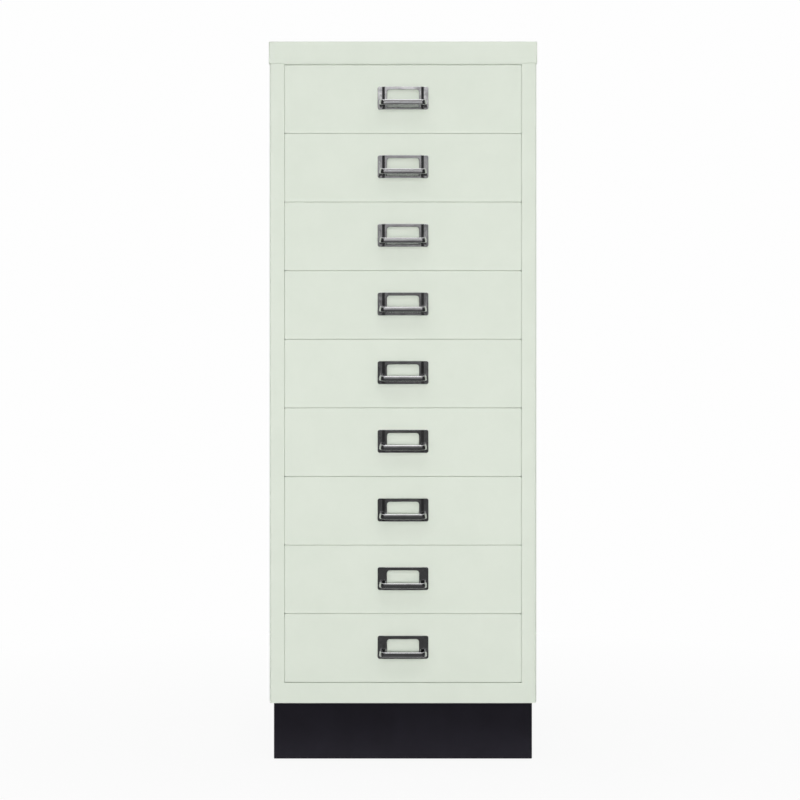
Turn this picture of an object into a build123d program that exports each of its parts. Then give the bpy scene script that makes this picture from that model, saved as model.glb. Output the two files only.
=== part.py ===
from build123d import *
from math import cos, radians, sin
import os

# A floor-standing cabinet of folded sheet steel with nine shallow drawers.
# Sizes are in millimetres. The front faces -Y, +X is the viewer's right, +Z is up.
# The origin is on the floor, under the centre of the whole object, pulls included.

# The case
cabinet_height = 940.0
cap_width = 349.0
cap_depth = 432.0
cap_height = 28.0
cap_proud = 1.0          # how far the lid-like cap stands out beyond the case, all round
cap_corner = 1.6         # outside radius of its upright corners
cap_edge = 0.9           # bevel round its top
sheet = 0.8
bend = 2.5               # outside radius of the case's folded edges
stile_width = 19.4
stile_return = 7.0       # the stile's edge turns back into the case
rail_height = 26.5       # the bottom rail, below the drawers
top_rail_shows = 1.9     # below the cap; the rest of the top rail is behind the cap's skirt
edge_round = 0.8         # outside radius of the folds round the drawer opening
back_return = 12.0       # the sides and the floor turn in this far at the rear

# The plinth
plinth_height = 80.0
plinth_setback = 40.0    # behind the stiles
plinth_side_inset = 3.0
plinth_back_inset = 3.0
plinth_sheet = 1.2
plinth_flange = 20.0
plinth_edge = 2.0        # bevel of its upright corners and round its foot
screw_diameter = 6.0
screw_length = 12.0
screw_across = 10.0      # its hexagonal head, across the flats
screw_head = 4.0
screw_hole_play = 0.5    # added to the screw's diameter
screw_from_end = 90.0    # in from the plinth's front and rear
screw_from_side = 10.0

# The drawers
drawer_count = 9
gap_between = 0.8
gap_top = 0.8
gap_side = 0.7
front_depth = 6.0
front_edge = 1.2         # bevel of a drawer front's edges and corners
tray_back_gap = 0.8      # to the back panel
tray_sheet = 0.8
tray_lift = 3.0          # tray floor above the front's lower edge
tray_drop = 13.0         # tray sides below the front's upper edge
tray_back_drop = 10.0    # the back wall is lower than the sides
tray_lip_gap = 1.0       # from the turned-out top edge to the edge of the opening

# The ball-bearing slides
slide_space = 4.0        # from the tray's side to the edge of the drawer opening
slide_height = 30.0
slide_lift = 25.0        # middle of the slide above the tray's floor
slide_sheet = 0.8
slide_back_gap = 19.6    # from the moving rail's rear end to the tray's
slide_clearance = 0.3
pass_clearance = 0.4     # between the moving rail and the drawer opening
mouth_clearance = 0.6    # between the fixed rail's flanges and the tray
ball_diameter = 3.0
ball_play = 0.2
retainer_sheet = 0.5
retainer_length = 96.0
retainer_flange = 2.6
retainer_notches = 2     # ball pockets in each flange
stop_tab = 1.0           # thickness of a bent stop tab, along the slide
stop_clearance = 1.0

# The posts that carry the slides
post_face = 30.0
post_flange = 8.0
post_sheet = 1.0
post_from_end = 4.0      # in from the ends of the moving rail
post_top_gap = 6.0       # below the cap's top

# The pull, a plated label frame with a bow across its foot
plate_width = 66.0
plate_height = 29.5
plate_sheet = 1.2
plate_corner = 2.0
plate_lift = 1.4         # middle of the plate above the middle of the front
plate_raise = 1.8        # room behind the raised field for a label card
flange_width = 5.7
slope_width = 3.9
window_width = 41.8
window_top = 3.9         # band above the window
window_height = 16.6
window_corner = 3.3
bow_width = 62.0
bow_reach = 20.0         # from the drawer front to the front of the bow
bow_height = 6.4
bow_thickness = 3.4
bow_corner = 6.0         # radius of the middle of the bow at its corners
bow_edge = 1.1           # bevel of its front edges
bow_slope = 6.5          # degrees by which the bow falls from its feet to its front
bow_from_top = 22.5      # middle of the bow's front below the plate's top edge
lug_height = 8.0
lug_foot = 4.5
slot_play = 0.4

# What follows from the sizes above
case_width = cap_width - 2 * cap_proud
case_depth = cap_depth - 2 * cap_proud
half_width = case_width / 2
stile_y = bow_reach - (bow_reach + cap_depth - cap_proud) / 2
back_y = stile_y + case_depth
floor_z = plinth_height + sheet
under_cap_z = cabinet_height - sheet
cap_edge_z = cabinet_height - cap_height
opening_half = half_width - stile_width
opening_z = plinth_height + rail_height
opening_top_z = cap_edge_z - top_rail_shows
opening_height = opening_top_z - opening_z
front_width = 2 * (opening_half - gap_side)
front_height = (opening_height - gap_top) / drawer_count - gap_between
front_pitch = front_height + gap_between

tray_half = opening_half - slide_space
tray_lip = slide_space - tray_lip_gap
tray_y = stile_y + front_depth
panel_y = back_y - 2 * sheet
tray_depth = panel_y - tray_back_gap - tray_y
tray_height = front_height - tray_lift - tray_drop

moving_tip_x = opening_half - pass_clearance
retainer_in_x = moving_tip_x + slide_clearance
retainer_out_x = retainer_in_x + retainer_sheet
fixed_in_x = retainer_out_x + slide_clearance
fixed_out_x = fixed_in_x + slide_sheet
slide_y = stile_y + stile_return + stop_clearance
slide_end_y = tray_y + tray_depth - slide_back_gap
slide_length = slide_end_y - slide_y
ball_gap = ball_diameter + ball_play
moving_height = slide_height - 2 * (slide_sheet + ball_gap)
retainer_height = moving_height + ball_gap + retainer_sheet
retainer_y = slide_y + (slide_length - retainer_length) / 2
drawer_travel = slide_length - retainer_length - 2 * (stop_tab + stop_clearance)

post_depth = post_face + 2 * (post_flange - post_sheet)
post_y = (slide_y + post_from_end, slide_end_y - post_from_end - post_depth)


def block(x, y, z):
    """A box from its low and high x, y and z."""
    size = [high - low for low, high in (x, y, z)]
    middle = [(high + low) / 2 for low, high in (x, y, z)]
    return Pos(*middle) * Box(*size)


def sides(part):
    """The same piece on the right and, mirrored, on the left."""
    return [part, part.mirror(Plane.YZ)]


def channel(web_x, tip_x, wall, height, y, middle_z):
    """A straight channel along Y, with its web at web_x and its flanges out to tip_x."""
    inner_x = web_x + wall if tip_x > web_x else web_x - wall
    whole = block(sorted((web_x, tip_x)), y, (middle_z - height / 2, middle_z + height / 2))
    hollow_z = (middle_z - height / 2 + wall, middle_z + height / 2 - wall)
    return whole - block(sorted((inner_x, tip_x)), y, hollow_z)


def front_z(number):
    """The lower edge of a drawer front, counted from the top."""
    return opening_z + gap_between + (drawer_count - number) * front_pitch


def slide_z(number):
    """The middle of a drawer's slides."""
    return front_z(number) + tray_lift + slide_lift


def case_wrap():
    """Sides, floor, stiles and rails, folded from one sheet and welded at the mitres."""
    outer = block((-half_width, half_width), (stile_y, back_y), (plinth_height, under_cap_z))
    inner_half = half_width - sheet
    inner = block((-inner_half, inner_half), (stile_y + sheet, back_y), (floor_z, under_cap_z))
    shell = fillet(side_folds(outer), bend) - fillet(side_folds(inner), bend - sheet)

    turned = block(
        (-opening_half - sheet, opening_half + sheet),
        (stile_y, stile_y + stile_return),
        (opening_z - sheet, opening_top_z + sheet),
    )
    way_in = block(
        (-opening_half, opening_half),
        (stile_y, stile_y + stile_return),
        (opening_z, opening_top_z),
    )
    shell = shell + turned - way_in
    shell = fillet(opening_rim(shell), edge_round) + rear_returns()
    for x, y in screw_places():
        shell -= screw_hole(x, y, floor_z)
    return shell


def side_folds(box):
    """The edges where the sides meet the floor and the stiles."""
    upright = box.edges().filter_by(Axis.Z).group_by(Axis.Y)[0]
    return upright + box.edges().filter_by(Axis.Y).group_by(Axis.Z)[0]


def rear_returns():
    """The frame that the sides and the floor turn in to at the rear, open at the top."""
    outer = block((-half_width, half_width), (back_y - sheet, back_y), (plinth_height, under_cap_z))
    outer = fillet(outer.edges().filter_by(Axis.Y).group_by(Axis.Z)[0], bend)
    inner_half = half_width - back_return
    return outer - block(
        (-inner_half, inner_half),
        (back_y - sheet, back_y),
        (plinth_height + back_return, under_cap_z),
    )


def opening_rim(shell):
    """The edges where the front sheet turns back round the drawer opening."""
    face = shell.faces().sort_by(Axis.Y)[0]
    inside = []
    for edge in face.edges():
        middle = edge @ 0.5
        if abs(middle.X) < opening_half + sheet / 2 and middle.Z > opening_z - sheet / 2:
            if middle.Z < under_cap_z - sheet:
                inside.append(edge)
    return inside


def back_panel():
    """A flat panel, welded in against the returns."""
    half = half_width - sheet
    panel = block((-half, half), (panel_y, panel_y + sheet), (floor_z, under_cap_z))
    return fillet(panel.edges().filter_by(Axis.Y).group_by(Axis.Z)[0], bend - sheet)


def top_cap():
    """A lid with a skirt all round, over the top of the case."""
    front_y = stile_y - cap_proud
    outer = block(
        (-cap_width / 2, cap_width / 2),
        (front_y, front_y + cap_depth),
        (cap_edge_z, cabinet_height),
    )
    outer = fillet(outer.edges().filter_by(Axis.Z), cap_corner)
    outer = chamfer(outer.faces().sort_by(Axis.Z)[-1].edges(), cap_edge)
    inner = block(
        (-cap_width / 2 + sheet, cap_width / 2 - sheet),
        (front_y + sheet, front_y + cap_depth - sheet),
        (cap_edge_z, under_cap_z),
    )
    return outer - inner


def plinth():
    """A folded ring, flanged in at the floor and under the case."""
    half = half_width - plinth_side_inset
    front_y = stile_y + plinth_setback
    rear_y = back_y - plinth_back_inset
    outer = block((-half, half), (front_y, rear_y), (0, plinth_height))
    eased = outer.edges().filter_by(Axis.Z) + outer.faces().sort_by(Axis.Z)[0].edges()
    outer = chamfer(eased, plinth_edge)
    wall = plinth_sheet
    hollow = block(
        (-half + wall, half - wall),
        (front_y + wall, rear_y - wall),
        (wall, plinth_height - wall),
    )
    through = block(
        (-half + plinth_flange, half - plinth_flange),
        (front_y + plinth_flange, rear_y - plinth_flange),
        (0, plinth_height),
    )
    ring = outer - hollow - through
    for x, y in screw_places():
        ring -= screw_hole(x, y, plinth_height)
    return ring


def screw_places():
    """Where the four screws go down through the case's floor into the plinth."""
    x = half_width - plinth_side_inset - screw_from_side
    near = stile_y + plinth_setback + screw_from_end
    far = back_y - plinth_back_inset - screw_from_end
    return [(side * x, y) for side in (-1, 1) for y in (near, far)]


def screw_hole(x, y, z):
    """What a clearance hole takes out of the sheets about height z."""
    return Pos(x, y, z) * Cylinder((screw_diameter + screw_hole_play) / 2, 2 * plinth_flange)


def plinth_screws():
    """Four hexagon-headed screws, driven down from inside the case."""
    head = RegularPolygon(screw_across / 2, 6, major_radius=False)
    screw = Pos(0, 0, floor_z) * extrude(head, screw_head)
    screw += Pos(0, 0, floor_z - screw_length / 2) * Cylinder(screw_diameter / 2, screw_length)
    return Compound(children=[Pos(x, y, 0) * screw for x, y in screw_places()])


def runner_posts():
    """Four hat-section posts, welded to the sides, that carry the slides."""
    wall_x = half_width - sheet
    flange_x = wall_x - post_sheet
    web_x = fixed_out_x + post_sheet
    low_z = floor_z + bend
    posts = []
    for near in post_y:
        far = near + post_depth
        outline = [
            (wall_x, near),
            (wall_x, near + post_flange),
            (web_x, near + post_flange),
            (web_x, far - post_flange),
            (wall_x, far - post_flange),
            (wall_x, far),
            (flange_x, far),
            (flange_x, far - post_flange + post_sheet),
            (fixed_out_x, far - post_flange + post_sheet),
            (fixed_out_x, near + post_flange - post_sheet),
            (flange_x, near + post_flange - post_sheet),
            (flange_x, near),
        ]
        section = Pos(0, 0, low_z) * make_face(Polyline(*outline, close=True))
        posts += sides(extrude(section, under_cap_z - post_top_gap - low_z))
    return Compound(children=posts)


def stop_tabs(number, x, y, low, high):
    """A pair of tabs across the ball races, low to high above the slide's middle and below it."""
    middle = slide_z(number)
    return block(x, y, (middle + low, middle + high)) + block(x, y, (middle - high, middle - low))


def slide_outer_rails(number):
    """The fixed rails of one drawer, with stops bent in at their front and rear ends."""
    middle = slide_z(number)
    rear_y = slide_end_y + slide_clearance + slide_sheet
    mouth_x = tray_half + mouth_clearance
    rail = channel(fixed_out_x, mouth_x, slide_sheet, slide_height, (slide_y, rear_y), middle)
    rail += stop_tabs(
        number,
        (mouth_x, fixed_out_x),
        (slide_y, slide_y + stop_tab),
        moving_height / 2 + slide_clearance,
        slide_height / 2,
    )
    rail += block(
        (tray_half + slide_sheet + slide_clearance, fixed_out_x),
        (rear_y - slide_sheet, rear_y),
        (middle - moving_height / 2, middle + moving_height / 2),
    )
    return Compound(children=sides(rail))


def slide_inner_rails(number):
    """The moving rails of one drawer, with tabs turned out at the rear that end its travel."""
    middle = slide_z(number)
    y = (slide_y, slide_end_y)
    rail = channel(tray_half, moving_tip_x, slide_sheet, moving_height, y, middle)
    rail += stop_tabs(
        number,
        (tray_half, moving_tip_x),
        (slide_end_y - stop_tab, slide_end_y),
        moving_height / 2 - slide_sheet,
        moving_height / 2 + ball_gap - slide_clearance,
    )
    return Compound(children=sides(rail))


def ball_retainers(number):
    """The thin cages that keep the balls apart, notched where each ball sits."""
    middle = slide_z(number)
    y = (retainer_y, retainer_y + retainer_length)
    tip_x = retainer_out_x - retainer_flange
    cage = channel(retainer_out_x, tip_x, retainer_sheet, retainer_height, y, middle)
    pitch = retainer_length / retainer_notches
    for place in range(retainer_notches):
        ball_y = retainer_y + (place + 0.5) * pitch
        cage -= block(
            (tip_x, retainer_in_x - slide_clearance),
            (ball_y - ball_gap / 2, ball_y + ball_gap / 2),
            (middle - retainer_height / 2, middle + retainer_height / 2),
        )
    return Compound(children=sides(cage))


def drawer_tray(number):
    """An open tray, folded up from its floor, with the side edges turned out at the top."""
    low = front_z(number) + tray_lift
    y = (tray_y, tray_y + tray_depth)
    outer = block((-tray_half, tray_half), y, (low, low + tray_height))
    inner = block(
        (-tray_half + tray_sheet, tray_half - tray_sheet),
        (y[0] + tray_sheet, y[1] - tray_sheet),
        (low + tray_sheet, low + tray_height),
    )
    tray = outer - inner
    tray -= block(
        (-tray_half + tray_sheet, tray_half - tray_sheet),
        (y[1] - tray_sheet, y[1]),
        (low + tray_height - tray_back_drop, low + tray_height),
    )
    lip = block(
        (tray_half, tray_half + tray_lip),
        y,
        (low + tray_height - tray_sheet, low + tray_height),
    )
    for side in sides(lip):
        tray += side
    return tray


def drawer_front(number):
    """A folded pan with eased edges, slotted for the pull's lugs."""
    low = front_z(number)
    y = (stile_y, stile_y + front_depth)
    outer = block((-front_width / 2, front_width / 2), y, (low, low + front_height))
    soft = outer.edges().filter_by(Axis.Y) + outer.faces().sort_by(Axis.Y)[0].edges()
    outer = chamfer(soft, front_edge)
    inner = block(
        (-front_width / 2 + sheet, front_width / 2 - sheet),
        (stile_y + sheet, y[1]),
        (low + sheet, low + front_height - sheet),
    )
    pan = outer - inner
    for x, z in lug_places(number):
        pan -= block(
            (x - (plate_sheet + slot_play) / 2, x + (plate_sheet + slot_play) / 2),
            (stile_y, stile_y + sheet),
            (z - (lug_height + slot_play) / 2, z + (lug_height + slot_play) / 2),
        )
    return pan


def plate_z(number):
    """The middle of the label frame."""
    return front_z(number) + front_height / 2 + plate_lift


def lug_places(number):
    """Where the pull's two lugs pass through the drawer front."""
    x = plate_width / 2 - flange_width / 2
    return [(-x, plate_z(number)), (x, plate_z(number))]


def bow(bar_z):
    """A flat bar with eased edges, bent back at both ends and fused into the plate's flanges."""
    slope = radians(bow_slope)
    nose = bow_thickness / 2 * cos(slope) + (bow_height / 2 - bow_edge) * sin(slope)
    bar_y = stile_y - bow_reach + nose
    foot_x = bow_width / 2 - bow_thickness / 2
    reach = (stile_y + plate_sheet - bar_y) / cos(slope)
    sloped = Plane(origin=(0, bar_y, bar_z), x_dir=(1, 0, 0), z_dir=(0, sin(slope), -cos(slope)))
    route = FilletPolyline(
        (-foot_x, -reach), (-foot_x, 0), (foot_x, 0), (foot_x, -reach), radius=bow_corner
    )
    route = sloped * route
    start = Plane(origin=route @ 0, x_dir=sloped.z_dir, z_dir=route % 0)
    profile = Rectangle(bow_height, bow_thickness)
    outer_corners = profile.vertices().group_by(Axis.Y)[0]
    rod = sweep(start * chamfer(outer_corners, bow_edge), path=route)
    behind = block(
        (-plate_width / 2, plate_width / 2),
        (stile_y - plate_sheet / 2, stile_y + bow_reach),
        (bar_z - plate_height, bar_z + plate_height),
    )
    return rod - behind


def handle(number):
    """The plated pull: a raised label frame, a bow across its foot and two bent lugs."""
    middle = plate_z(number)
    bottom = middle - plate_height / 2
    half = plate_width / 2
    slope_x = half - flange_width
    field_x = slope_x - slope_width
    raised_y = stile_y - plate_raise
    rear = [
        (-half, stile_y),
        (-slope_x, stile_y),
        (-field_x, raised_y),
        (field_x, raised_y),
        (slope_x, stile_y),
        (half, stile_y),
    ]
    front = [(x, y - plate_sheet) for x, y in reversed(rear)]
    section = make_face(Polyline(*rear, *front, close=True))
    plate = extrude(Pos(0, 0, bottom) * section, plate_height)
    corners = plate.edges().filter_by(Axis.Y).filter_by(lambda edge: abs(edge.center().X) > slope_x)
    plate = chamfer(corners, plate_corner)

    window_z = bottom + plate_height - window_top - window_height / 2
    window = Plane.XZ.offset(-stile_y) * Pos(0, window_z) * Rectangle(window_width, window_height)
    upper = window.vertices().group_by(Axis.Z)[-1]
    window = fillet(upper, window_corner)
    plate -= extrude(window, plate_raise + 2 * plate_sheet)

    pull = plate + bow(bottom + plate_height - bow_from_top)

    for x, z in lug_places(number):
        inward = -1 if x > 0 else 1
        lug_z = (z - lug_height / 2, z + lug_height / 2)
        neck_y = (stile_y - plate_sheet / 2, stile_y + sheet + plate_sheet)
        pull += block((x - plate_sheet / 2, x + plate_sheet / 2), neck_y, lug_z)
        foot_span = sorted((x - inward * plate_sheet / 2, x + inward * lug_foot))
        pull += block(foot_span, (stile_y + sheet, stile_y + sheet + plate_sheet), lug_z)
    return pull


def write(name, shape):
    """One file for each named piece."""
    shape.label = name
    export_step(shape, f"parts/{name}.step")


os.makedirs("parts", exist_ok=True)
write("case_wrap", case_wrap())
write("back_panel", back_panel())
write("top_cap", top_cap())
write("plinth", plinth())
write("plinth_screws", plinth_screws())
write("runner_posts", runner_posts())
for number in range(1, drawer_count + 1):
    write(f"drawer_tray_{number}", drawer_tray(number))
    write(f"drawer_front_{number}", drawer_front(number))
    write(f"handle_{number}", handle(number))
    write(f"slide_outer_rails_{number}", slide_outer_rails(number))
    write(f"slide_inner_rails_{number}", slide_inner_rails(number))
    write(f"ball_retainers_{number}", ball_retainers(number))
print("drawer front", round(front_width, 3), "x", round(front_height, 3))
print("drawer travel", round(drawer_travel, 3))
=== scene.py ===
# %% [markdown]
# # A nine-drawer steel cabinet
#
# The object is a tall, narrow office cabinet of folded sheet steel: a painted case on a dark,
# recessed plinth, with nine equal drawers that each carry a chrome-plated label frame with a bow
# below it. The construction model gives every piece's place. This lesson dresses it: it rebuilds
# what the eye lands on with the soft edges that folded and pressed metal has, and gives every
# surface its finish.

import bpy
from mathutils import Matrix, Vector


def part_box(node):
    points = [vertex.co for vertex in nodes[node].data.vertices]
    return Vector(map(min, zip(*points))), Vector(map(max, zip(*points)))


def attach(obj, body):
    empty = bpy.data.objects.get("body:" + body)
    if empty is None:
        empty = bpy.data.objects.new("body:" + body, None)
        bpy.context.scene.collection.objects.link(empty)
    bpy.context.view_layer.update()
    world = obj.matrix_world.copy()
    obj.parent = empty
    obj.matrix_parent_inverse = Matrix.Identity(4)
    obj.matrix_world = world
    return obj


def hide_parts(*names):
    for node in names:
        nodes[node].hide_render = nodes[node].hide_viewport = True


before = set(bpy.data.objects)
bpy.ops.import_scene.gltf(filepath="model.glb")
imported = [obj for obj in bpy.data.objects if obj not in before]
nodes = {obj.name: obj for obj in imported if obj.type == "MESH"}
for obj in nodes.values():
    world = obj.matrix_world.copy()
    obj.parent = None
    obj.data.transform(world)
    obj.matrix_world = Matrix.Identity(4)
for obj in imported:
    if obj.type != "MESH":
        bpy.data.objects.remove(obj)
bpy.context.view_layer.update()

# %% Tools and units
from math import cos, pi, radians, sin, tan

import bmesh
import bpy
from mathutils import Vector

MM = 0.001
drawer_count = sum(name.startswith("drawer_front_") for name in nodes)
drawers = range(1, drawer_count + 1)
front_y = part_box("case_wrap")[0].y
print(drawer_count, "drawers; the case's front stands at y =", round(front_y / MM, 2), "mm")

# %% [markdown]
# ## Outlines and skins
#
# Sheet-metal pieces are closed skins round a rounded outline. They could be boxes with a bevel
# modifier, but a modifier gives every edge the same width. Here an outline with its own radius at
# each corner is repeated at several insets and depths, and the rings are joined by quads, so each
# edge has the radius of its own fold.

# %% Outline and skin helpers
corner_steps = 6
edge_steps = 5
least_radius = 0.2 * MM


def rounded_outline(x, y, radii):
    """Points round a rectangle from its low and high x and y.

    The radii are those of its lower right, upper right, upper left and lower left corners.
    """
    lower_right, upper_right, upper_left, lower_left = radii
    centres = [
        (x[1] - lower_right, y[0] + lower_right),
        (x[1] - upper_right, y[1] - upper_right),
        (x[0] + upper_left, y[1] - upper_left),
        (x[0] + lower_left, y[0] + lower_left),
    ]
    points = []
    for corner, (centre, radius) in enumerate(zip(centres, radii)):
        for step in range(corner_steps + 1):
            angle = (corner - 1 + step / corner_steps) * pi / 2
            points.append((centre[0] + radius * cos(angle), centre[1] + radius * sin(angle)))
    return points


def quarter_round(radius):
    """(inset, depth) pairs from a face, round its edge, to its side."""
    turns = [step / edge_steps * pi / 2 for step in range(edge_steps + 1)]
    return [(radius * (1 - sin(turn)), radius * (1 - cos(turn))) for turn in turns]


def inset_rings(x, y, corner, profile, place):
    """One ring for each (inset, depth) of the profile. place turns x, y and depth into a point."""
    rings = []
    for inset, depth in profile:
        radius = max(corner - inset, least_radius)
        outline = rounded_outline(
            (x[0] + inset, x[1] - inset), (y[0] + inset, y[1] - inset), [radius] * 4
        )
        rings.append([place(across, along, depth) for across, along in outline])
    return rings


def skin(bm, rings, closed=False):
    """Joins rings of equally many points by quads, and caps the ends of a skin that isn't closed."""
    loops = [[bm.verts.new(point) for point in ring] for ring in rings]
    following = loops[1:] + loops[:1] if closed else loops[1:]
    for near, far in zip(loops, following):
        for index in range(len(near)):
            after = (index + 1) % len(near)
            bm.faces.new((near[index], near[after], far[after], far[index]))
    if not closed:
        bm.faces.new(loops[0])
        bm.faces.new(loops[-1])


print("corner arcs have", corner_steps, "steps and edge arcs", edge_steps)

# %% [markdown]
# ## From a bmesh to a finished piece
#
# Every piece ends the same way: its faces point outwards, its flat faces stay flat while its small
# radii shade round, it is hung on the body it rides on and given its finish, and the solids that it
# stands for are hidden. Weighted normals do the shading: the large faces keep their own direction,
# and the radii take up the turn.

# %% Piece helpers
fold_angle = radians(32)
face_weight = 100


def mesh_object(name, bm):
    """A new object of the bmesh, with its faces pointing outwards."""
    bmesh.ops.recalc_face_normals(bm, faces=bm.faces)
    mesh = bpy.data.meshes.new(name)
    bm.to_mesh(mesh)
    bm.free()
    obj = bpy.data.objects.new(name, mesh)
    bpy.context.scene.collection.objects.link(obj)
    return obj


def bake_modifiers(obj):
    """Replaces an object's mesh by what its modifiers make of it."""
    evaluated = obj.evaluated_get(bpy.context.evaluated_depsgraph_get())
    mesh = bpy.data.meshes.new_from_object(evaluated)
    obj.modifiers.clear()
    obj.data = mesh


def combine(obj, other, operation):
    """Cuts the other object from this one, or fuses them, and removes the other."""
    boolean = obj.modifiers.new("boolean", "BOOLEAN")
    boolean.operation = operation
    boolean.solver = "EXACT"
    boolean.object = other
    bake_modifiers(obj)
    bpy.data.objects.remove(other)


def soften(obj, width, segments=2):
    """Rounds the edges that are still sharp."""
    bevel = obj.modifiers.new("softened edges", "BEVEL")
    bevel.width = width
    bevel.segments = segments
    bevel.limit_method = "ANGLE"
    bevel.angle_limit = fold_angle
    bevel.use_clamp_overlap = True


def shade(obj):
    """Shades radii round and faces flat."""
    for polygon in obj.data.polygons:
        polygon.use_smooth = True
    weighted = obj.modifiers.new("weighted normals", "WEIGHTED_NORMAL")
    weighted.weight = face_weight
    weighted.keep_sharp = False


def finish_piece(obj, body, finish, *stands_for):
    """Shades a piece, puts its finish on, and places it on its body."""
    shade(obj)
    obj.data.materials.clear()
    obj.data.materials.append(finishes[finish])
    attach(obj, body)
    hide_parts(*stands_for)


finishes = {}
print("edges that turn by more than", round(fold_angle * 180 / pi), "degrees count as sharp")

# %% [markdown]
# ## A small kit for node materials
#
# A procedural finish is a short chain of nodes, and a few helpers keep each chain readable. They
# add a node and set its inputs by name, map a value from one range to another, and start a node
# group, which is how an effect is shared between several finishes. The last ones wire a colour and
# a relief into a finish.

# %% Node helpers
def add(tree, kind, **inputs):
    """Adds a node. An input is a plain value, or the output socket that feeds it."""
    node = tree.nodes.new(kind)
    for name, value in inputs.items():
        socket = node.inputs[name.replace("_", " ")]
        if isinstance(value, bpy.types.NodeSocket):
            tree.links.new(value, socket)
        else:
            socket.default_value = value
    return node


def new_group(name, inputs, outputs):
    """A node group with its sockets, its input node and its output node."""
    group = bpy.data.node_groups.new(name, "ShaderNodeTree")
    for title, value in inputs.items():
        socket = group.interface.new_socket(title, in_out="INPUT", socket_type="NodeSocketFloat")
        socket.default_value = value
    for title, kind in outputs.items():
        group.interface.new_socket(title, in_out="OUTPUT", socket_type=kind)
    return group, group.nodes.new("NodeGroupInput"), group.nodes.new("NodeGroupOutput")


def place_group(tree, group, **inputs):
    """Puts a group into a material with its own values."""
    node = tree.nodes.new("ShaderNodeGroup")
    node.node_tree = group
    for name, value in inputs.items():
        node.inputs[name.replace("_", " ")].default_value = value
    return node


def calculate(tree, operation, first, second=0.0):
    """The result of a maths node on two values or sockets."""
    node = tree.nodes.new("ShaderNodeMath")
    node.operation = operation
    for socket, value in zip(node.inputs, (first, second)):
        if isinstance(value, bpy.types.NodeSocket):
            tree.links.new(value, socket)
        else:
            socket.default_value = value
    return node.outputs[0]


def spread(tree, value, source, target=(0.0, 1.0)):
    """A value, mapped from one range to another and held inside it."""
    return add(
        tree,
        "ShaderNodeMapRange",
        Value=value,
        From_Min=source[0],
        From_Max=source[1],
        To_Min=target[0],
        To_Max=target[1],
    ).outputs[0]


def new_finish(name):
    """A material with an empty tree, and its Principled shader wired to the output."""
    material = bpy.data.materials.new(name)
    material.use_nodes = True
    tree = material.node_tree
    tree.nodes.clear()
    shader = tree.nodes.new("ShaderNodeBsdfPrincipled")
    output = tree.nodes.new("ShaderNodeOutputMaterial")
    tree.links.new(shader.outputs[0], output.inputs["Surface"])
    finishes[name] = material
    return tree, shader


def wire_colour(tree, shader, share, first_tone, second_tone):
    """Colours a finish between two tones. A share of 0 is the first tone and 1 the second."""
    mix = tree.nodes.new("ShaderNodeMix")
    mix.data_type = "RGBA"
    tree.links.new(share, mix.inputs[0])
    tones = [socket for socket in mix.inputs if socket.type == "RGBA"]
    mixed = [socket for socket in mix.outputs if socket.type == "RGBA"]
    for socket, tone in zip(tones, (first_tone, second_tone)):
        socket.default_value = (*tone, 1)
    tree.links.new(mixed[0], shader.inputs["Base Color"])


def wire_relief(tree, shader, height, relief):
    """Gives a finish a relief of this depth, in the shape of a height."""
    bump = add(tree, "ShaderNodeBump", Height=height, Distance=relief, Strength=1.0)
    tree.links.new(bump.outputs[0], shader.inputs["Normal"])


print("node helpers ready")

# %% [markdown]
# ## The sprayed skin
#
# Sprayed enamel on steel is never quite even. It dries with the fine pebbling called orange peel,
# its gloss drifts slowly across a panel, and the colour is a touch deeper where the coat is
# thicker. All three can come from noise at different sizes. They are one group, because the case
# and the plinth are both sprayed. Peel Size is how many pebbles there are to a metre, and Drift
# Size does the same for the slow changes.

# %% Sprayed skin group
sprayed_skin, given, result = new_group(
    "sprayed_skin",
    {"Peel Size": 520.0, "Drift Size": 9.0, "Drift Depth": 4.0},
    {"Height": "NodeSocketFloat", "Gloss Drift": "NodeSocketFloat", "Thickness": "NodeSocketFloat"},
)
spot = add(sprayed_skin, "ShaderNodeTexCoord").outputs["Object"]
peel = add(sprayed_skin, "ShaderNodeTexNoise", Vector=spot, Detail=2.0, Roughness=0.45)
drift = add(sprayed_skin, "ShaderNodeTexNoise", Vector=spot, Detail=3.0, Roughness=0.5)
coat = add(sprayed_skin, "ShaderNodeTexNoise", Vector=spot, Scale=26.0, Detail=4.0, Roughness=0.55)
sprayed_skin.links.new(given.outputs["Peel Size"], peel.inputs["Scale"])
sprayed_skin.links.new(given.outputs["Drift Size"], drift.inputs["Scale"])
slow = calculate(sprayed_skin, "MULTIPLY", drift.outputs[0], given.outputs["Drift Depth"])
sprayed_skin.links.new(
    calculate(sprayed_skin, "ADD", slow, peel.outputs[0]), result.inputs["Height"]
)
sprayed_skin.links.new(drift.outputs[0], result.inputs["Gloss Drift"])
sprayed_skin.links.new(coat.outputs[0], result.inputs["Thickness"])
print("group", sprayed_skin.name, "puts out", [socket.name for socket in result.inputs[:-1]])

# %% [markdown]
# ## Cabinet enamel and plinth enamel
#
# The cabinet is a pale grey-green satin enamel and the plinth a matt near-black one. A finish takes
# its colour from two close tones, mixed where the coat is thick, and its roughness from the slow
# drift of the gloss. A function makes both, so they differ only in their values.

# %% Enamel finishes
noise_range = (0.3, 0.7)


def enamel(name, thin_tone, thick_tone, gloss, skin_sizes, relief, specular):
    """A sprayed finish. gloss is its lowest and highest roughness, relief the depth of its skin."""
    tree, shader = new_finish(name)
    coat_skin = place_group(tree, sprayed_skin, **skin_sizes)
    thickness = spread(tree, coat_skin.outputs["Thickness"], noise_range)
    wire_colour(tree, shader, thickness, thin_tone, thick_tone)
    rough = spread(tree, coat_skin.outputs["Gloss Drift"], noise_range, gloss)
    tree.links.new(rough, shader.inputs["Roughness"])
    wire_relief(tree, shader, coat_skin.outputs["Height"], relief)
    shader.inputs["Specular IOR Level"].default_value = specular


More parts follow.
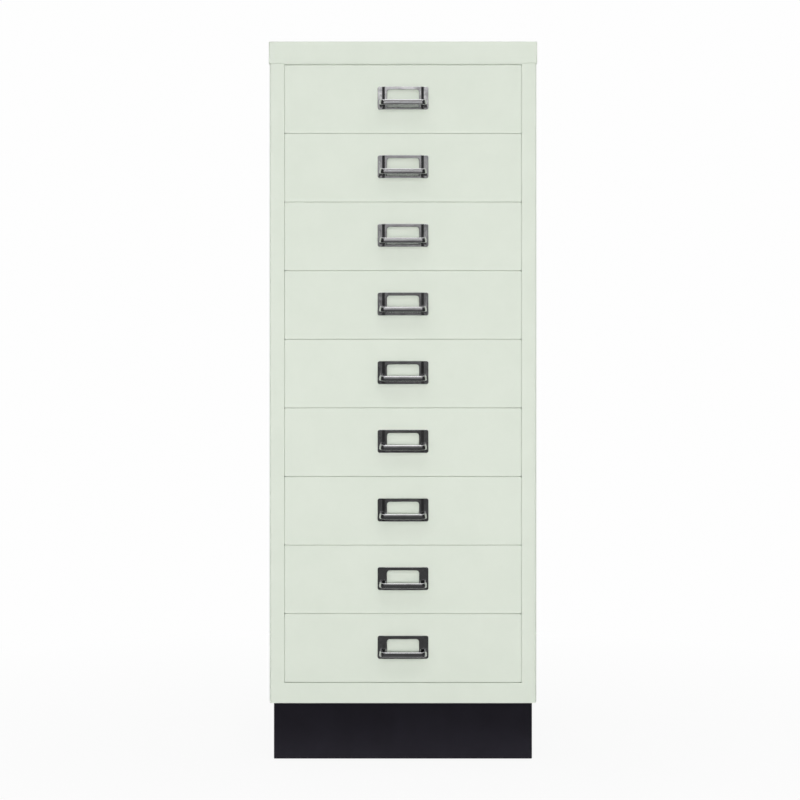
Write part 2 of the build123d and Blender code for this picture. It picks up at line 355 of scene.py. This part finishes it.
enamel(
    "cabinet_paint",
    thin_tone=(0.712, 0.766, 0.675),
    thick_tone=(0.692, 0.748, 0.656),
    gloss=(0.36, 0.46),
    skin_sizes={"Peel_Size": 520.0, "Drift_Size": 9.0, "Drift_Depth": 7.0},
    relief=0.004 * MM,
    specular=0.42,
)
enamel(
    "plinth_paint",
    thin_tone=(0.0098, 0.0084, 0.0146),
    thick_tone=(0.0074, 0.0062, 0.0110),
    gloss=(0.42, 0.55),
    skin_sizes={"Peel_Size": 700.0, "Drift_Size": 12.0, "Drift_Depth": 6.0},
    relief=0.005 * MM,
    specular=0.2,
)
print("enamels:", list(finishes))

# %% [markdown]
# ## Marks on plated metal
#
# Chrome and zinc plate carry the press's and the handler's marks: hairline scratches and soft
# smudges where fingers have been, and a pressed plate is slightly wavy, which breaks its
# reflections into patches. The group puts out a mask of marks and a height for the waviness.
# Scratches are noise that is stretched a long way along one direction, and only its peaks count.
# They count half, and show where no smudge counts for more.

# %% Metal marks group
scratch_turn = (0.0, radians(24), 0.0)
scratch_stretch = (60.0, 900.0, 2600.0)
scratch_peaks = (0.62, 0.72)
scratch_strength = 0.5
metal_marks, given, result = new_group(
    "metal_marks",
    {"Wave Size": 75.0, "Smudge Size": 160.0},
    {"Marks": "NodeSocketFloat", "Wave": "NodeSocketFloat"},
)
spot = add(metal_marks, "ShaderNodeTexCoord").outputs["Object"]
stretched = add(metal_marks, "ShaderNodeMapping", Vector=spot)
stretched.inputs["Rotation"].default_value = scratch_turn
stretched.inputs["Scale"].default_value = scratch_stretch
scratch = add(
    metal_marks, "ShaderNodeTexNoise", Vector=stretched.outputs[0], Scale=1.0, Detail=1.0
)
hairline = spread(metal_marks, scratch.outputs[0], scratch_peaks)
smudge = add(metal_marks, "ShaderNodeTexNoise", Vector=spot, Detail=3.0, Roughness=0.6)
wave = add(metal_marks, "ShaderNodeTexNoise", Vector=spot, Detail=1.0, Roughness=0.4)
metal_marks.links.new(given.outputs["Smudge Size"], smudge.inputs["Scale"])
metal_marks.links.new(given.outputs["Wave Size"], wave.inputs["Scale"])
faint = calculate(metal_marks, "MULTIPLY", hairline, scratch_strength)
metal_marks.links.new(
    calculate(metal_marks, "MAXIMUM", faint, smudge.outputs[0]), result.inputs["Marks"]
)
metal_marks.links.new(wave.outputs[0], result.inputs["Wave"])
print("group", metal_marks.name, "puts out", [socket.name for socket in result.inputs[:-1]])

# %% [markdown]
# ## Chrome plate and zinc plate
#
# The pulls are bright chrome: nearly a mirror, so it mostly shows its surroundings. The slides,
# their balls and the screws are zinc plated: greyer and softer, with a cloudy spangle in its tone.
# Both use the marks group; chrome gets smooth, wide waves, and zinc gets a rougher and more uneven
# surface.

# %% Plated finishes
smudge_range = (0.35, 0.75)


def plate_finish(name, bright_tone, dull_tone, gloss, mark_sizes, relief):
    """A plated metal finish. gloss is its roughness when clean and when marked."""
    tree, shader = new_finish(name)
    marks = place_group(tree, metal_marks, **mark_sizes)
    wire_colour(tree, shader, marks.outputs["Marks"], bright_tone, dull_tone)
    rough = spread(tree, marks.outputs["Marks"], smudge_range, gloss)
    tree.links.new(rough, shader.inputs["Roughness"])
    wire_relief(tree, shader, marks.outputs["Wave"], relief)
    shader.inputs["Metallic"].default_value = 1.0


plate_finish(
    "chrome_plate",
    bright_tone=(0.64, 0.64, 0.65),
    dull_tone=(0.56, 0.56, 0.57),
    gloss=(0.05, 0.12),
    mark_sizes={"Wave_Size": 85.0, "Smudge_Size": 160.0},
    relief=0.16 * MM,
)
plate_finish(
    "zinc_plate",
    bright_tone=(0.54, 0.55, 0.57),
    dull_tone=(0.46, 0.465, 0.48),
    gloss=(0.28, 0.42),
    mark_sizes={"Wave_Size": 240.0, "Smudge_Size": 420.0},
    relief=0.03 * MM,
)
print("finishes:", list(finishes))

# %% [markdown]
# ## The solids that stay
#
# The case, the back panel, the trays, the plinth's screws and the slides with their posts already
# have the right shape in the construction model, so they stay and only get their finish. A weld
# joins points that lie on each other, and a hair-thin bevel lets each cut edge catch the light.

# %% Dress the carried-over solids
kept = {"case_wrap": "cabinet_paint", "back_panel": "cabinet_paint"}
kept |= {"runner_posts": "zinc_plate", "plinth_screws": "zinc_plate"}
for number in drawers:
    kept[f"drawer_tray_{number}"] = "cabinet_paint"
    kept[f"slide_outer_rails_{number}"] = "zinc_plate"
    kept[f"slide_inner_rails_{number}"] = "zinc_plate"
    kept[f"ball_retainers_{number}"] = "zinc_plate"
cut_edge = 0.18 * MM
weld_reach = 0.01 * MM
for name, finish in kept.items():
    solid = nodes[name]
    solid.data.materials.clear()
    solid.data.materials.append(finishes[finish])
    weld = solid.modifiers.new("weld", "WELD")
    weld.merge_threshold = weld_reach
    soften(solid, cut_edge, segments=1)
print(len(kept), "solids dressed")

# %% [markdown]
# ## The top cap
#
# The cap is a lid: a flat top with a skirt folded down all round, which slips over the top of the
# case. It is a skin of rings that go down the outside and come back up the inside, one sheet
# thickness away.

# %% Build the top cap
sheet = 0.8 * MM
cap_low, cap_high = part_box("top_cap")
cap_edge = 1.1 * MM
cap_corner = 1.8 * MM
cap_skirt = cap_high.z - cap_low.z
cap_profile = quarter_round(cap_edge) + [(0, cap_skirt), (sheet, cap_skirt), (sheet, sheet)]
bm = bmesh.new()
skin(bm, inset_rings(
    (cap_low.x, cap_high.x),
    (cap_low.y, cap_high.y),
    cap_corner,
    cap_profile,
    lambda x, y, depth: (x, y, cap_high.z - depth),
))
top_cap = mesh_object("cap", bm)
soften(top_cap, cut_edge)
finish_piece(top_cap, "case", "cabinet_paint", "top_cap")
print("cap", [round(size / MM, 1) for size in top_cap.dimensions], "mm")

# %% [markdown]
# ## The plinth
#
# The plinth is a folded ring that stands back under the case, with a flange turned in at the floor
# and another under the case. Its section could be swept round as a curve, but the corners would
# pinch, so it is a closed tube of inset rings: each ring is the plan outline at one point of the
# section.

# %% Build the plinth
plinth_low, plinth_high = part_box("plinth")
plinth_wall = 1.2 * MM
plinth_flange = 20 * MM
plinth_fold = 1.2 * MM
plinth_top = plinth_high.z
head_fold = 1 * MM
foot = quarter_round(plinth_fold)
head = [(inset, plinth_top - depth) for inset, depth in reversed(quarter_round(head_fold))]
section = foot + head + [
    (plinth_flange, plinth_top),
    (plinth_flange, plinth_top - plinth_wall),
    (plinth_wall, plinth_top - plinth_wall),
    (plinth_wall, plinth_wall),
    (plinth_flange, plinth_wall),
    (plinth_flange, 0),
]
bm = bmesh.new()
skin(bm, inset_rings(
    (plinth_low.x, plinth_high.x),
    (plinth_low.y, plinth_high.y),
    plinth_fold,
    section,
    lambda x, y, height: (x, y, height),
), closed=True)
plinth = mesh_object("plinth_ring", bm)
soften(plinth, cut_edge)
finish_piece(plinth, "case", "plinth_paint", "plinth")
print("plinth", [round(size / MM, 1) for size in plinth.dimensions], "mm")

# %% [markdown]
# ## The drawer fronts
#
# Each front is a shallow pan, folded back round all four edges. Its corners are small and its front
# edge is round enough to catch a thin line of light from above, which is what sets one drawer off
# from the next. The construction model leaves working clearances between bare sheets. Enamel adds
# its thickness to both sides of a gap, and the photograph shows thin lines there, so here a front
# is a little larger all round, twice as much at its ends as above and below. Two slots take the
# lugs of its pull.

# %% Build the drawer fronts
front_edge = 0.8 * MM
front_corner = 1.7 * MM
growth = 0.27 * MM
lug_x = 30.15 * MM
slot_half_width = 0.8 * MM
slot_half_height = 4.2 * MM


def pull_middle(number):
    """The height of the middle of a drawer's pull."""
    low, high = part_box(f"handle_{number}")
    return (low.z + high.z) / 2


def lug_slot(side, number):
    """What the slot for one of the pull's lugs takes out of the front."""
    middle_x = side * lug_x
    middle_z = pull_middle(number)
    left, right = middle_x - slot_half_width, middle_x + slot_half_width
    low, high = middle_z - slot_half_height, middle_z + slot_half_height
    corners = [(left, low), (right, low), (right, high), (left, high)]
    ends = (front_y - sheet, front_y + 2 * sheet)
    bm = bmesh.new()
    skin(bm, [[(x, y, z) for x, z in corners] for y in ends])
    return mesh_object("slot", bm)


for number in drawers:
    low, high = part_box(f"drawer_front_{number}")
    pan_depth = high.y - low.y
    pan_profile = quarter_round(front_edge) + [(0, pan_depth), (sheet, pan_depth), (sheet, sheet)]
    bm = bmesh.new()
    skin(bm, inset_rings(
        (low.x - 2 * growth, high.x + 2 * growth),
        (low.z - growth, high.z + growth),
        front_corner,
        pan_profile,
        lambda x, z, depth: (x, low.y + depth, z),
    ))
    drawer_front = mesh_object(f"front_{number}", bm)
    soften(drawer_front, cut_edge)
    bake_modifiers(drawer_front)
    for side in (-1, 1):
        combine(drawer_front, lug_slot(side, number), "DIFFERENCE")
    finish_piece(drawer_front, f"drawer_{number}", "cabinet_paint", f"drawer_front_{number}")
print("fronts", [round(size / MM, 1) for size in drawer_front.dimensions], "mm")

# %% [markdown]
# ## The pull's plate
#
# The plate is pressed from one blank: two flanges that lie on the drawer front, two slopes, and a
# raised field with a round-cornered window for a label. It is made the way the press makes it. A
# flat blank is filled between its outline and its window, scored along the folds, and then pushed
# into shape by its profile. Solidify gives it the thickness of the sheet, and a bevel softens the
# cut edges.

# %% A path with rounded corners
def rounded_path(corners, radius, steps):
    """An open path along these corners, with an arc of that radius in place of each inner one."""
    corners = [Vector(corner) for corner in corners]
    path = [corners[0]]
    for before, corner, after in zip(corners, corners[1:], corners[2:]):
        back = (before - corner).normalized()
        onward = (after - corner).normalized()
        half = back.angle(onward) / 2
        centre = corner + (back + onward).normalized() * radius / sin(half)
        start = (corner + back * radius / tan(half) - centre).normalized()
        end = (corner + onward * radius / tan(half) - centre).normalized()
        path += [centre + radius * start.slerp(end, step / steps) for step in range(steps + 1)]
    return path + [corners[-1]]


print("corner arcs are drawn from the two tangent points")

# %% The plate's sizes and its profile
plate_half = 33 * MM
plate_above = 14.75 * MM
plate_below = 15.1 * MM
plate_sheet = 1.2 * MM
plate_raise = 1.8 * MM
slope_foot = 27.3 * MM
slope_head = 23.4 * MM
plate_corner = 2.6 * MM
window_half = 20.9 * MM
window_height = 16.6 * MM
window_drop = 4.15 * MM
window_upper_corner = 3.7 * MM
window_lower_corner = 1.2 * MM
fold_radius = 2.2 * MM
fold_steps = 5

plate_profile = rounded_path(
    [
        (-plate_half, 0),
        (-slope_foot, 0),
        (-slope_head, -plate_raise),
        (slope_head, -plate_raise),
        (slope_foot, 0),
        (plate_half, 0),
    ],
    fold_radius,
    fold_steps,
)


def profile_depth(x):
    """How far the profile stands out at x, as a negative y."""
    for left, right in zip(plate_profile, plate_profile[1:]):
        if left.x <= x <= right.x:
            return left.y + (right.y - left.y) * (x - left.x) / (right.x - left.x)
    return 0.0


print("the plate's profile has", len(plate_profile), "points")

# %% Press the plate from its blank
flat_angle = radians(0.2)
plate_edge = 0.48 * MM


def pressed_plate(number, middle_z):
    """The plate of one pull, as a closed mesh with softened edges."""
    low_z = middle_z - plate_below
    high_z = middle_z + plate_above
    window_top = high_z - window_drop
    outline = rounded_outline((-plate_half, plate_half), (low_z, high_z), [plate_corner] * 4)
    window = rounded_outline(
        (-window_half, window_half),
        (window_top - window_height, window_top),
        [window_lower_corner, window_upper_corner, window_upper_corner, window_lower_corner],
    )
    bm = bmesh.new()
    for loop in (outline, window):
        points = [bm.verts.new((x, 0, z)) for x, z in loop]
        for first, second in zip(points, points[1:] + points[:1]):
            bm.edges.new((first, second))
    bmesh.ops.triangle_fill(bm, edges=bm.edges, use_beauty=True, normal=(0, -1, 0))
    for fold in plate_profile[1:-1]:
        everything = bm.verts[:] + bm.edges[:] + bm.faces[:]
        bmesh.ops.bisect_plane(bm, geom=everything, plane_co=(fold.x, 0, 0), plane_no=(1, 0, 0))
    for vertex in bm.verts:
        vertex.co.y = front_y - plate_sheet + profile_depth(vertex.co.x)
    bmesh.ops.dissolve_limit(bm, angle_limit=flat_angle, verts=bm.verts, edges=bm.edges)
    plate = mesh_object(f"pull_{number}", bm)
    if plate.data.polygons[0].normal.y > 0:
        plate.data.flip_normals()
    thickness = plate.modifiers.new("sheet", "SOLIDIFY")
    thickness.thickness = plate_sheet
    thickness.offset = -1
    thickness.use_even_offset = True
    soften(plate, plate_edge, segments=3)
    bake_modifiers(plate)
    return plate


print("the plate's field is raised by", round(plate_raise / MM, 1), "mm")

# %% [markdown]
# ## The pull's bow
#
# The bow is a bar, bent back at both ends into the flanges of the plate, with room behind it for
# fingertips. It falls a little towards its front. Its section gets thinner towards its top, so the
# lightly crowned front face stands nearly upright although the bow slopes. The face mirrors the
# room from well above the horizon at its top to the floor at its foot, which draws the reflection
# out into a soft run from bright to dark. The section is swept along the route: at each point it
# stands square to the route, and because the route lies in one sloping plane, one side of the
# section always points down that plane's normal.

# %% The bow's sizes and its section
bow_half = 29.4 * MM
bow_reach = 20 * MM
bow_height = 6.5 * MM
bow_thickness = 3.0 * MM
bow_corner = 7 * MM
bow_corner_steps = 12
bow_slope = radians(10)
bow_drop = 8.0 * MM
bow_upper_round = 0.7 * MM
bow_lower_round = 0.6 * MM
bow_crown = 0.26 * MM
bow_crest = 4 * MM
bow_spacing = 0.7 * MM
foot_sink = 0.8 * MM

across = Vector((1, 0, 0))
downhill = Vector((0, sin(bow_slope), -cos(bow_slope)))
forward = Vector((0, -cos(bow_slope), -sin(bow_slope)))


def crowned_bar(width, height, radii, crown, crest, spacing):
    """Points round a bar's section, as (out, down) pairs at about this spacing or closer.

    Away from the crest the front face falls back by the square of the distance, so with the crest
    below its middle the bar gets thinner towards its top.
    """
    outline = rounded_outline((-width / 2, width / 2), (-height / 2, height / 2), radii)
    points = []
    for (x, y), (next_x, next_y) in zip(outline, outline[1:] + outline[:1]):
        parts = 1 + int(max(abs(next_x - x), abs(next_y - y)) / spacing)
        for part in range(parts):
            points.append((x + (next_x - x) * part / parts, y + (next_y - y) * part / parts))
    return [
        (x - crown * (2 * (y - crest) / height) ** 2 * (x / width + 0.5), y) for x, y in points
    ]


bow_section = crowned_bar(
    bow_thickness,
    bow_height,
    [bow_upper_round, bow_lower_round, bow_lower_round, bow_upper_round / 2],
    bow_crown,
    bow_crest,
    bow_spacing,
)
nose = max(out * cos(bow_slope) - down * sin(bow_slope) for out, down in bow_section)
print("the bow's nose is", round(nose / MM, 2), "mm ahead of the middle of its bar")

# %% Bend the bow
def swept_bow(number, middle_z):
    """The bow of one pull, as a closed mesh."""
    origin = Vector((0, front_y - bow_reach + nose, middle_z - bow_drop))
    reach = (front_y - foot_sink - origin.y) / cos(bow_slope)
    route = rounded_path(
        [(-bow_half, -reach), (-bow_half, 0), (bow_half, 0), (bow_half, -reach)],
        bow_corner,
        bow_corner_steps,
    )
    rings = []
    for index, point in enumerate(route):
        before = route[max(index - 1, 0)]
        after = route[min(index + 1, len(route) - 1)]
        heading = (after - before).normalized()
        outward = across * -heading.y + forward * heading.x
        centre = origin + across * point.x + forward * point.y
        rings.append([centre + outward * out + downhill * down for out, down in bow_section])
    bm = bmesh.new()
    skin(bm, rings)
    return mesh_object(f"bow_{number}", bm)


print("the bow's section has", len(bow_section), "points")

# %% [markdown]
# ## The pulls, one on each drawer
#
# Plate and bow are fused, as the real pull is one plated piece, and two lugs behind it hold it in
# the front.

# %% Build the pulls
lug_half_height = 4 * MM
lug_foot = 4.5 * MM


def bent_lug(side, middle_z):
    """A lug that passes back through the front and is bent over inwards."""
    near = side * (lug_x + plate_sheet / 2)
    far = side * (lug_x - plate_sheet / 2)
    tip = side * (lug_x - lug_foot)
    bend_y = front_y + sheet
    back_y = bend_y + plate_sheet
    outline = [
        (near, front_y - plate_sheet / 2),
        (near, back_y),
        (tip, back_y),
        (tip, bend_y),
        (far, bend_y),
        (far, front_y - plate_sheet / 2),
    ]
    bm = bmesh.new()
    levels = (middle_z - lug_half_height, middle_z + lug_half_height)
    skin(bm, [[(x, y, z) for x, y in outline] for z in levels])
    return mesh_object("lug", bm)


for number in drawers:
    middle_z = pull_middle(number)
    pull = pressed_plate(number, middle_z)
    combine(pull, swept_bow(number, middle_z), "UNION")
    for side in (-1, 1):
        combine(pull, bent_lug(side, middle_z), "UNION")
    finish_piece(pull, f"drawer_{number}", "chrome_plate", f"handle_{number}")
print("pulls", [round(size / MM, 1) for size in pull.dimensions], "mm")
print("a pull has", len(pull.data.polygons), "faces")

# %% [markdown]
# ## The bearing balls
#
# The slides roll on steel balls held in the notches of a thin cage. The construction model leaves
# them out, because it needs few faces, and keeps their pockets open. Here each pair of cages gets
# its eight balls as one piece.

# %% Drop in the balls
ball_radius = 1.5 * MM
ball_x = 152.2 * MM
ball_rise = 12.6 * MM
for number in drawers:
    low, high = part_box(f"ball_retainers_{number}")
    middle_z = (low.z + high.z) / 2
    quarter = (high.y - low.y) / 4
    ball_places = (low.y + quarter, high.y - quarter)
    bm = bmesh.new()
    for x in (-ball_x, ball_x):
        for y in ball_places:
            for z in (middle_z - ball_rise, middle_z + ball_rise):
                ball = bmesh.ops.create_icosphere(bm, subdivisions=3, radius=ball_radius)
                bmesh.ops.translate(bm, verts=ball["verts"], vec=(x, y, z))
    balls = mesh_object(f"balls_{number}", bm)
    finish_piece(balls, f"retainers_{number}", "zinc_plate")
print("balls on", len(drawers), "pairs of cages")

# %% [markdown]
# ## The floor and the white surroundings
#
# The cabinet stands on a pale floor that runs out into white. The floor is an ordinary diffuse
# surface for the light that it throws back on the object. Seen by the camera, or in a reflection,
# it is mixed with white, more so further out, so that it melts into the background and only keeps a
# soft shadow round the plinth. The surroundings work the same way: they look white, but give the
# cabinet only about half as much light.

# %% The floor
page_white = 0.99


def seen_directly(tree):
    """1 for camera rays, mirror rays and rays through glass, otherwise 0."""
    path = tree.nodes.new("ShaderNodeLightPath")
    seen = calculate(tree, "ADD", path.outputs["Is Camera Ray"], path.outputs["Is Glossy Ray"])
    return calculate(tree, "ADD", seen, path.outputs["Is Transmission Ray"])


floor_half = 8.0
floor_drop = 0.3 * MM
floor_grey = 0.8
shadow_reach = (0.35, 1.2)
floor_whiteness = (0.93, 1.0)
bm = bmesh.new()
bmesh.ops.create_grid(bm, x_segments=4, y_segments=4, size=floor_half)
floor = mesh_object("floor", bm)
floor.location.z = -floor_drop
floor_paper = bpy.data.materials.new("pale floor")
floor_paper.use_nodes = True
tree = floor_paper.node_tree
tree.nodes.clear()
spot = add(tree, "ShaderNodeTexCoord").outputs["Object"]
distance = add(tree, "ShaderNodeVectorMath", Vector=spot)
distance.operation = "LENGTH"
whiteness = spread(tree, distance.outputs["Value"], shadow_reach, floor_whiteness)
factor = calculate(tree, "MULTIPLY", seen_directly(tree), whiteness)
matt = add(tree, "ShaderNodeBsdfDiffuse", Color=(floor_grey, floor_grey, floor_grey, 1))
white = add(tree, "ShaderNodeEmission", Color=(page_white, page_white, page_white, 1), Strength=1.0)
mixed = tree.nodes.new("ShaderNodeMixShader")
tree.links.new(factor, mixed.inputs[0])
tree.links.new(matt.outputs[0], mixed.inputs[1])
tree.links.new(white.outputs[0], mixed.inputs[2])
output = tree.nodes.new("ShaderNodeOutputMaterial")
tree.links.new(mixed.outputs[0], output.inputs["Surface"])
floor.data.materials.append(floor_paper)
print("floor", 2 * floor_half, "m wide")

# %% The sky's light
sky_light = 0.54
world = bpy.data.worlds.new("white studio")
bpy.context.scene.world = world
world.use_nodes = True
tree = world.node_tree
tree.nodes.clear()
level = spread(tree, seen_directly(tree), (0.0, 1.0), (sky_light, page_white))
background = add(tree, "ShaderNodeBackground", Color=(1, 1, 1, 1), Strength=level)
output = tree.nodes.new("ShaderNodeOutputWorld")
tree.links.new(background.outputs[0], output.inputs["Surface"])
print("the surroundings light the cabinet at", sky_light, "and look", page_white)

# %% [markdown]
# ## The lamps
#
# A large key softbox high in front draws the short shadows under the pulls and the thin bright line
# on top of each drawer. It hangs far away, so that the top drawers get hardly more light than the
# bottom ones. A wide, low front light lifts the gaps, the windows and the paint below the pulls. A
# light behind the cabinet does the same for its back. These two are kept out of reflections,
# because the room already gives the chrome its bright side, and the camera sees none of the three.

# %% Three softboxes
def softbox(name, place, aim, width, height, power):
    """An area lamp that looks from its place at a point."""
    lamp = bpy.data.lights.new(name, "AREA")
    lamp.shape = "RECTANGLE"
    lamp.size = width
    lamp.size_y = height
    lamp.energy = power
    obj = bpy.data.objects.new(name, lamp)
    obj.location = place
    obj.visible_camera = False
    obj.rotation_euler = (Vector(aim) - Vector(place)).to_track_quat("-Z", "Y").to_euler()
    bpy.context.scene.collection.objects.link(obj)
    return obj


cabinet_middle = (0, 0, 0.47)
front_lamp_height = 0.22
key = softbox(
    "key softbox", place=(0, -9.0, 10.5), aim=cabinet_middle, width=5.6, height=4.0, power=238
)
fill = softbox(
    "front softbox",
    place=(0, -3.6, front_lamp_height),
    aim=(0, 0, front_lamp_height),
    width=3.2,
    height=0.6,
    power=53,
)
back = softbox(
    "back softbox", place=(0, 7.0, 4.0), aim=cabinet_middle, width=6.0, height=4.0, power=130
)
for lamp in (fill, back):
    lamp.visible_glossy = False
print("lamps:", ", ".join(lamp.name for lamp in (key, fill, back)))

# %% [markdown]
# ## What the chrome sees
#
# Chrome shows its surroundings, and in an all-white room it would look like white plastic.
# Photographers hang dark cards where the metal looks. Here the cards glow at set shades rather than
# being lit, so they are painted reflections for the chrome and the paint's sheen. The card in front
# glows dark near the floor and grey above, with a bright band about 1.7 m up, a painted highlight
# that the bows mirror near their tops. The side cards and the card on the floor are darker still,
# and a narrow strip in the middle of the floor is a little lighter. Noise makes every card's glow
# uneven, painted patches as if its cloth hung in folds, which breaks up the reflections. The cards
# show in reflections only: the camera doesn't see them, they throw no shadow, and the diffuse light
# on the paint passes through them.

# %% A card that only reflections show
glow_patch_range = (0.35, 0.65)
glow_patch_strength = (0.5, 1.5)


def card(name, corners, axis, shades):
    """A flat card. Each of its shades goes with a place along the axis, in metres."""
    bm = bmesh.new()
    bm.faces.new([bm.verts.new(corner) for corner in corners])
    obj = mesh_object(name, bm)
    # The card's material is an emission at set shades: a painted reflection that lights nothing
    card_glow_material = bpy.data.materials.new(name)
    card_glow_material.use_nodes = True
    tree = card_glow_material.node_tree
    tree.nodes.clear()
    spot = add(tree, "ShaderNodeTexCoord").outputs["Object"]
    place = add(tree, "ShaderNodeSeparateXYZ", Vector=spot).outputs[axis]
    first, last = shades[0][0], shades[-1][0]
    share = spread(tree, place, (first, last))
    ramp = add(tree, "ShaderNodeValToRGB", Fac=share)
    ramp.color_ramp.interpolation = "EASE"
    stops = ramp.color_ramp.elements
    # The ramp starts with two stops, and each stop is moved to its place further down
    while len(stops) < len(shades):
        stops.new(position=0.5)
    for stop, (position, shade_level) in zip(stops, shades):
        stop.position = (position - first) / (last - first)
        stop.color = (shade_level, shade_level, shade_level, 1)
    # Noise makes the glow uneven: painted patches of light and shade in the reflections, not real
    # folds
    folds = add(tree, "ShaderNodeTexNoise", Vector=spot, Scale=6.0, Detail=2.0)
    strength = spread(tree, folds.outputs[0], glow_patch_range, glow_patch_strength)
    glow = add(tree, "ShaderNodeEmission", Color=ramp.outputs[0], Strength=strength)
    output = tree.nodes.new("ShaderNodeOutputMaterial")
    tree.links.new(glow.outputs[0], output.inputs["Surface"])
    obj.data.materials.append(card_glow_material)
    obj.visible_camera = False
    obj.visible_diffuse = False
    obj.visible_transmission = False
    obj.visible_shadow = False
    obj.visible_volume_scatter = False


print("folds vary a card's light between", glow_patch_strength[0], "and", glow_patch_strength[1], "times")

# %% Stand the cards round the cabinet
wall_x = 3.0
wall_y = -4.5
wall_top = 3.0
side_near = 2.0
side_top = 2.5
front_shades = [
    (0, 0.09),
    (0.55, 0.1),
    (0.8, 0.17),
    (1.02, 0.38),
    (1.3, 0.45),
    (1.5, 0.5),
    (1.68, 1.0),
    (1.85, 0.6),
    (2.1, 0.4),
    (wall_top, 0.32),
]
card(
    "front card",
    [
        (-wall_x, wall_y, 0),
        (wall_x, wall_y, 0),
        (wall_x, wall_y, wall_top),
        (-wall_x, wall_y, wall_top),
    ],
    "Z",
    front_shades,
)
for side in (-1, 1):
    x = side * wall_x
    card(
        "side card",
        [(x, wall_y, 0), (x, side_near, 0), (x, side_near, side_top), (x, wall_y, side_top)],
        "Z",
        [(0, 0.035), (side_top, 0.05)],
    )
print("the front card is", wall_top, "m high and stands", abs(wall_y), "m in front")

# %% Lay cards on the floor
floor_near = -0.25
card_height = 1 * MM
strip_height = 2 * MM
strip_half = 0.45
card_shades = [(wall_y, 0.075), (-1.2, 0.07), (floor_near, 0.05)]
strip_shades = [(-1.6, 0.075), (-0.9, 0.1), (-0.6, 0.17), (-0.45, 0.16), (floor_near, 0.06)]


def floor_card(name, half_width, height, shades):
    """A card that lies in front of the cabinet, just above the floor."""
    far = shades[0][0]
    corners = [
        (-half_width, far, height),
        (half_width, far, height),
        (half_width, floor_near, height),
        (-half_width, floor_near, height),
    ]
    card(name, corners, "Y", shades)


floor_card("floor card", wall_x, card_height, card_shades)
floor_card("floor strip", strip_half, strip_height, strip_shades)
print("cards on the floor from", abs(floor_near), "m in front")

# %% [markdown]
# ## The camera
#
# The photograph looks straight at the front from about the middle of its height, with a long lens:
# the sides don't show, and the plinth, which stands 40 mm back, shows a little shorter than it is.

# %% Place the camera
focal_length = 84.81
film_width = 36
camera_place = (-0.0039, -2.6555, 0.474)
lens = bpy.data.cameras.new("camera")
lens.lens = focal_length
lens.sensor_width = film_width
camera = bpy.data.objects.new("camera", lens)
camera.location = camera_place
camera.rotation_euler = (radians(90), 0, 0)
bpy.context.scene.collection.objects.link(camera)
bpy.context.scene.camera = camera
bpy.context.scene.view_settings.view_transform = "Standard"
print("camera", round(abs(camera.location.y), 2), "m in front")
